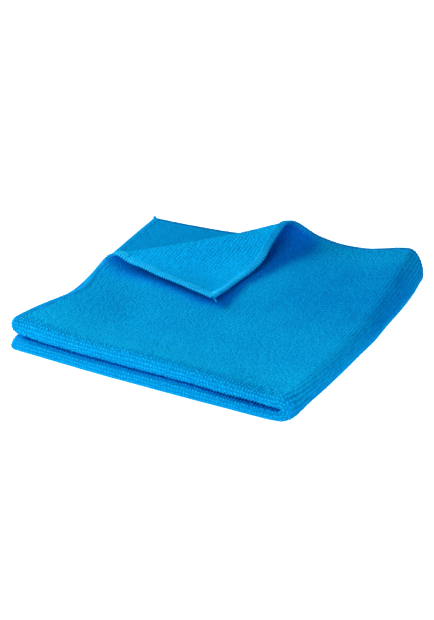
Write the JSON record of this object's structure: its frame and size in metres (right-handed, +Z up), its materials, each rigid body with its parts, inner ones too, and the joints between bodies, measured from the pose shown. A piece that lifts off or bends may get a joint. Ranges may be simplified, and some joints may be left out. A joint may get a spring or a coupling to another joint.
{
  "type": "folded microfibre cloth",
  "caption": "Square knitted cleaning cloth with an overlocked edge, folded in quarter, the loose corner of its top layer peeled over.",
  "frame": {"origin": "on the surface, below the middle of the folded cloth's box", "axes": "+X runs from the loose left edges to the right-hand fold, +Y from the front folds to the rear edges, +Z up"},
  "size_m": [0.2104, 0.2046, 0.0386],
  "materials": {
    "cloth": "soft knitted pile, matt"
  },
  "bodies": {
    "root": {"cloth": "cloth"}
  },
  "joints": []
}
